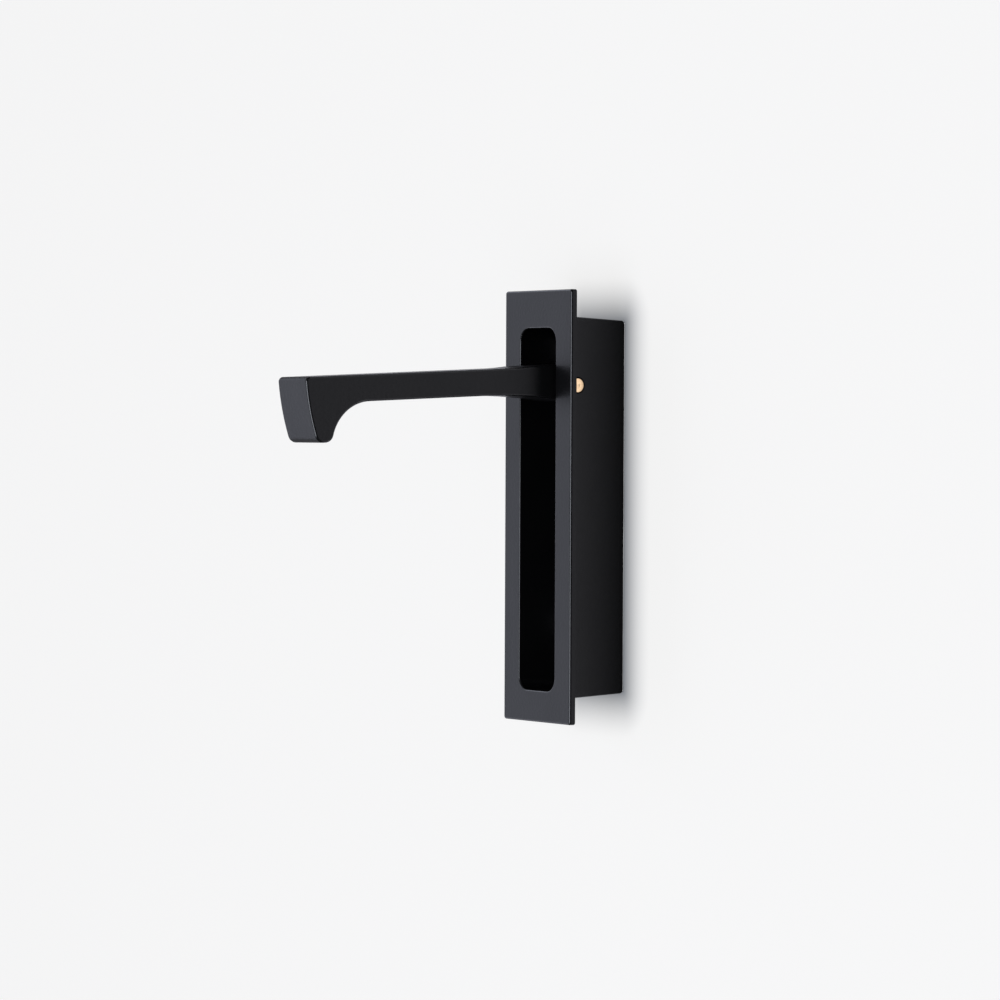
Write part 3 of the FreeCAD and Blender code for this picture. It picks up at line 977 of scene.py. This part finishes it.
@dataclass(frozen=True)
class WallPaint:
    """Plain pale paint with a painted shadow that darkens it towards the opening, clear from
    behind.

    The camera sees a share of the lit paint and a pale glow on top of it, the glow darkened near
    the opening as a painted shadow. Shiny faces see a dim glow close to the opening as a painted
    reflection of shade, and the room's own paleness further out.
    """

    name: str = "wall_paint"
    colour: Colour = (0.90, 0.90, 0.90)
    seen_share: Colour = (0.20, 0.20, 0.20)
    # Painted shadow: the glow's colour right at the opening, darker and bluer than far out.
    painted_shadow_colour: Colour = (0.13, 0.14, 0.155)
    seen_far: Colour = (0.765, 0.76, 0.748)
    painted_shadow_reach: float = 13.6 * MILLIMETRE
    painted_shadow_fall: float = 1.6
    mirrored_colour: Colour = (0.985, 0.985, 1.0)
    # Strength of the dim glow that shiny faces see next to the opening: a painted reflection of
    # shade.
    mirrored_shade_strength: float = 0.05
    mirrored_reach: float = 27.0 * MILLIMETRE

    def build(self, opening: WallOpening) -> bpy.types.Material:
        """Build the paint.

        Args:
            opening: The wall's opening.

        Returns:
            The paint.
        """
        material = bpy.data.materials.new(self.name)
        material.use_nodes = True
        graph = Graph(material.node_tree)
        output = graph.add("ShaderNodeOutputMaterial")
        rays = graph.add("ShaderNodeLightPath")
        side = graph.add("ShaderNodeNewGeometry")
        away = opening.distance(graph)
        clear = graph.add("ShaderNodeBsdfTransparent").outputs["BSDF"]
        shown = self._diffuse(graph, self.colour)
        shown = graph.layer(rays.outputs["Is Camera Ray"], shown, self._seen(graph, away))
        mirrored = self._mirrored(graph, away, clear)
        shown = graph.layer(rays.outputs["Is Glossy Ray"], shown, mirrored)
        shown = graph.layer(side.outputs["Backfacing"], shown, clear)
        graph.feed(shown, output.inputs["Surface"])
        return material

    def _diffuse(self, graph: Graph, colour: Colour) -> bpy.types.NodeSocket:
        """Add a plain matt shader.

        Args:
            graph: The paint's graph.
            colour: The shader's colour.

        Returns:
            The shader.
        """
        node = graph.add("ShaderNodeBsdfDiffuse")
        node.inputs["Color"].default_value = as_rgba(colour)
        return node.outputs["BSDF"]

    def _seen(self, graph: Graph, away: bpy.types.NodeSocket) -> bpy.types.NodeSocket:
        """Build what the camera sees: a share of the lit paint under a pale glow that darkens
        towards the opening as a painted shadow.

        Args:
            graph: The paint's graph.
            away: Distance from the opening.

        Returns:
            The shader.
        """
        # Painted shadow: the pale glow darkens towards the opening over the reach.
        closeness = graph.remap(away, (0.0, self.painted_shadow_reach), (1.0, 0.0))
        painted_shadow_share = graph.math("POWER", closeness, self.painted_shadow_fall)
        pale = graph.add("ShaderNodeEmission")
        graph.feed(graph.blend(painted_shadow_share, self.seen_far, self.painted_shadow_colour), pale.inputs["Color"])
        seen = graph.add("ShaderNodeAddShader")
        graph.feed(self._diffuse(graph, self.seen_share), seen.inputs[0])
        graph.feed(pale.outputs["Emission"], seen.inputs[1])
        return seen.outputs["Shader"]

    def _mirrored(
        self, graph: Graph, away: bpy.types.NodeSocket, clear: bpy.types.NodeSocket
    ) -> bpy.types.NodeSocket:
        """Build what shiny faces see: a dim glow next to the opening as a painted reflection of
        shade, and clear further out.

        Args:
            graph: The paint's graph.
            away: Distance from the opening.
            clear: The clear shader.

        Returns:
            The shader.
        """
        # Painted reflection of shade: a dim glow next to the opening.
        painted_shade_glow = graph.add("ShaderNodeEmission")
        painted_shade_glow.inputs["Color"].default_value = as_rgba(self.mirrored_colour)
        painted_shade_glow.inputs["Strength"].default_value = self.mirrored_shade_strength
        opened = graph.remap(away, (0.0, self.mirrored_reach))
        return graph.layer(opened, painted_shade_glow.outputs["Emission"], clear)


@dataclass
class PaleWall:
    """Pale wall behind the pull, open behind the box."""

    half_size: float = 2.0
    bays: int = 3
    gap: float = 0.2 * MILLIMETRE
    opening_margin: float = 0.1 * MILLIMETRE
    flatness: float = 0.01 * MILLIMETRE
    paint: WallPaint = WallPaint()

    def build(self, casting: bpy.types.Object) -> bpy.types.Object:
        """Make the wall.

        Args:
            casting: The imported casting, whose flat back the wall leaves open.

        Returns:
            The wall.
        """
        back = max(vertex.co.y for vertex in casting.data.vertices)
        opening = self._opening(casting, back)
        deselect_all()
        bpy.ops.mesh.primitive_grid_add(
            x_subdivisions=self.bays,
            y_subdivisions=self.bays,
            size=2 * self.half_size,
            location=(0.0, back + self.gap, 0.0),
            rotation=(QUARTER_TURN, 0.0, 0.0),
        )
        wall = bpy.context.object
        bpy.ops.object.transform_apply(location=True, rotation=True, scale=True)
        inner_line = self.half_size / 2
        for vertex in wall.data.vertices:
            if abs(vertex.co.x) < inner_line:
                vertex.co.x = math.copysign(opening.half_wide, vertex.co.x)
            if abs(vertex.co.z) < inner_line:
                vertex.co.z = opening.top if vertex.co.z > 0 else opening.bottom
        wall.data.update()
        pick_faces(wall, lambda face: opening.holds(face.center))
        bpy.ops.object.mode_set(mode="EDIT")
        bpy.ops.mesh.delete(type="FACE")
        bpy.ops.object.mode_set(mode="OBJECT")
        wall.name = "pale_wall"
        wall.data.materials.append(self.paint.build(opening))
        LOG.info("wall set %.1f mm behind the box", self.gap / MILLIMETRE)
        return wall

    def _opening(self, casting: bpy.types.Object, back: float) -> WallOpening:
        """Find the opening from the casting's flat back.

        Args:
            casting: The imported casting.
            back: How far back the casting reaches.

        Returns:
            The opening, a little smaller than the back.
        """
        rim = [v.co for v in casting.data.vertices if back - v.co.y < self.flatness]
        return WallOpening(
            half_wide=max(point.x for point in rim) - self.opening_margin,
            bottom=min(point.z for point in rim) + self.opening_margin,
            top=max(point.z for point in rim) - self.opening_margin,
        )


@dataclass(frozen=True)
class SoftBox:
    """One soft lamp, aimed at the pull."""

    name: str
    azimuth: float
    elevation: float
    distance: float
    width: float
    height: float
    radiance: float
    colour: Colour

    def build(self, aim: Vector) -> bpy.types.Object:
        """Hang the lamp.

        Args:
            aim: The point that it faces.

        Returns:
            The lamp.
        """
        light = bpy.data.lights.new(self.name, "AREA")
        light.shape = "RECTANGLE"
        light.size = self.width
        light.size_y = self.height
        light.energy = self.radiance * math.pi * self.width * self.height
        light.color = self.colour
        lamp = bpy.data.objects.new(self.name, light)
        bpy.context.scene.collection.objects.link(lamp)
        out = towards(self.azimuth, self.elevation)
        lamp.location = aim + out * self.distance
        lamp.rotation_mode = "QUATERNION"
        lamp.rotation_quaternion = (-out).to_track_quat("-Z", "Y")
        return lamp


LEFT_BANK = SoftBox(
    name="left_bank",
    azimuth=-62.0,
    elevation=4.0,
    distance=3.2,
    width=3.0,
    height=4.4,
    radiance=1.11,
    colour=(0.80, 0.84, 1.0),
)
FRONT_BANK = SoftBox(
    name="front_bank",
    azimuth=14.0,
    elevation=-8.0,
    distance=1.5,
    width=0.95,
    height=1.3,
    radiance=4.4,
    colour=(0.86, 0.90, 1.0),
)


@dataclass
class Studio:
    """Even pale surroundings and the soft lamps."""

    air_colour: Colour = (0.985, 0.99, 1.0)
    air_strength: float = 0.16
    mirrored_colour: Colour = (0.92, 0.92, 1.0)
    dim_strength: float = 0.06
    left_strength: float = 0.36
    left_span: Span = (0.45, 0.75)
    behind_strength: float = 1.2
    behind_span: Span = (0.36, 0.48)
    level_span: Span = (0.5, 0.85)
    level_rest: float = 0.3
    backdrop: float = 0.93
    lamps: tuple[SoftBox, ...] = (LEFT_BANK, FRONT_BANK)

    def build(self, aim: Vector) -> None:
        """Set the surroundings and hang the lamps.

        Args:
            aim: The point that the lamps face.
        """
        world = bpy.data.worlds.new("pale_room")
        world.use_nodes = True
        graph = Graph(world.node_tree)
        output = graph.add("ShaderNodeOutputWorld")
        rays = graph.add("ShaderNodeLightPath")
        air = self._room(graph, self.air_colour, self.air_strength)
        mirrored = self._room(graph, self.mirrored_colour, self._mirrored_strength(graph))
        backdrop = self._room(graph, self.air_colour, self.backdrop)
        around = graph.layer(rays.outputs["Is Glossy Ray"], air, mirrored)
        around = graph.layer(rays.outputs["Is Camera Ray"], around, backdrop)
        graph.feed(around, output.inputs["Surface"])
        bpy.context.scene.world = world
        for lamp in self.lamps:
            lamp.build(aim)
        LOG.info("%d lamps hung", len(self.lamps))

    def _room(self, graph: Graph, colour: Colour, strength: object) -> bpy.types.NodeSocket:
        """Build one look of the surroundings.

        Args:
            graph: The world's graph.
            colour: The room's colour.
            strength: A number or an output.

        Returns:
            The background shader.
        """
        room = graph.add("ShaderNodeBackground")
        room.inputs["Color"].default_value = as_rgba(colour)
        graph.feed(strength, room.inputs["Strength"])
        return room.outputs["Background"]

    def _mirrored_strength(self, graph: Graph) -> bpy.types.NodeSocket:
        """Set how bright each direction is in shiny faces.

        Args:
            graph: The world's graph.

        Returns:
            The strength: pale behind the pull and to its left, dim elsewhere.
        """
        spot = graph.add("ShaderNodeTexCoord")
        parts = graph.add("ShaderNodeSeparateXYZ")
        graph.feed(spot.outputs["Generated"], parts.inputs[0])
        leftward = graph.math("MULTIPLY", parts.outputs["X"], -1.0)
        left = graph.remap(leftward, self.left_span, (self.dim_strength, self.left_strength))
        behind = graph.remap(parts.outputs["Y"], self.behind_span, (0.0, self.behind_strength))
        height = graph.math("ABSOLUTE", parts.outputs["Z"])
        level = graph.remap(height, self.level_span, (1.0, self.level_rest))
        return graph.math("MAXIMUM", left, graph.math("MULTIPLY", behind, level))


@dataclass(frozen=True)
class PhotoCamera:
    """The photograph's viewpoint."""

    azimuth: float = 57.771
    elevation: float = 0.962
    roll: float = 0.250
    distance: float = 1.3
    aim: Triple = (-0.005520, -0.010555, 0.001701)
    lens: float = 168.387
    sensor: float = 36.0
    nearest: float = 0.01
    farthest: float = 20.0

    def build(self) -> bpy.types.Object:
        """Place the camera and make it the scene's own.

        Returns:
            The camera.
        """
        turn, tilt = math.radians(self.azimuth), math.radians(self.roll)
        back = towards(self.azimuth, self.elevation)
        right = Vector((math.cos(turn), math.sin(turn), 0.0))
        up = back.cross(right)
        level_right = right * math.cos(tilt) + up * math.sin(tilt)
        level_up = up * math.cos(tilt) - right * math.sin(tilt)
        data = bpy.data.cameras.new("photo_camera")
        data.lens = self.lens
        data.sensor_width = self.sensor
        data.clip_start = self.nearest
        data.clip_end = self.farthest
        camera = bpy.data.objects.new("photo_camera", data)
        bpy.context.scene.collection.objects.link(camera)
        turned = Matrix((level_right, level_up, back)).transposed().to_4x4()
        camera.matrix_world = Matrix.Translation(Vector(self.aim) + back * self.distance) @ turned
        bpy.context.scene.camera = camera
        return camera


def main() -> None:
    """Load the frame, dress it, light it and set the camera."""
    logging.basicConfig(level=logging.INFO, format="%(message)s")
    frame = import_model()
    effects = Effects()
    CastBody().dress(frame, effects)
    HookedLever().dress(frame, effects)
    PivotPin().build(effects)
    for side in Side:
        Washer(side=side).build(effects)
    PaleWall().build(frame["nodes"]["cast_body"])
    Studio().build(aim=Vector((0.0, 0.0, 0.0)))
    PhotoCamera().build()
    bpy.context.scene.view_settings.view_transform = "Standard"


if __name__ == "__main__":
    main()
